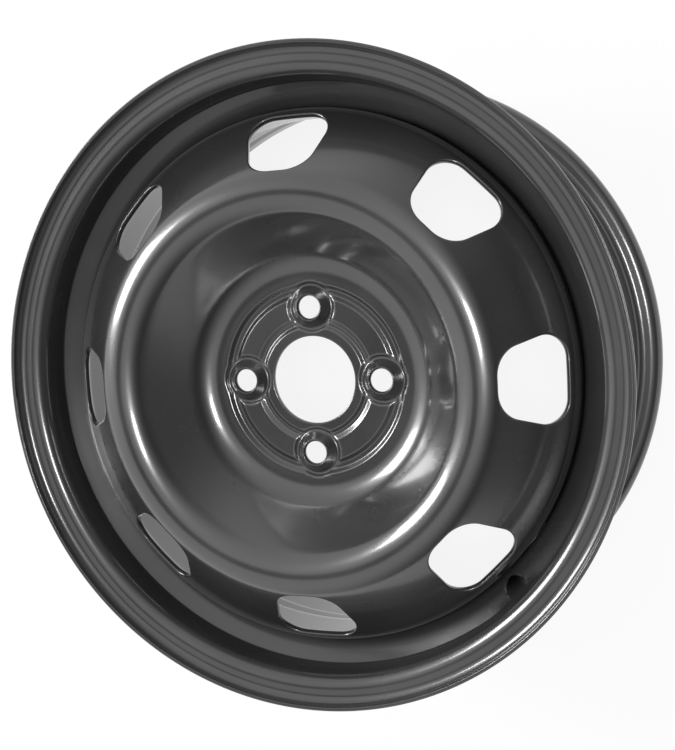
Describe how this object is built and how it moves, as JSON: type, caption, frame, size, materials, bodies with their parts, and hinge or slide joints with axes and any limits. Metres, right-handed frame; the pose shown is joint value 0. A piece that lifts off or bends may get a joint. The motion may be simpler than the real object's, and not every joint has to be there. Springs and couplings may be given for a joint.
{
  "type": "steel wheel rim",
  "caption": "Black pressed-steel road wheel: a rolled drop-centre rim with curled flanges, welded to a drawn disc with a deep bowl, vent windows, conical bolt seats and a centre bore.",
  "frame": {"origin": "centre of the hub face, where the disc's back meets the vehicle's hub", "axes": "+Z along the wheel's axis, towards the outboard side; +X towards one bolt hole"},
  "size_m": [0.4406, 0.4404, 0.1948],
  "materials": {
    "rim_coat": "semi-gloss black dip coat on rolled steel",
    "disc_coat": "semi-gloss black dip coat on drawn steel",
    "weld_coat": "semi-gloss black dip coat over rippled weld"
  },
  "bodies": {
    "root": {"rim": "rim_coat", "disc": "disc_coat", "weld_beads": "weld_coat"}
  },
  "joints": []
}
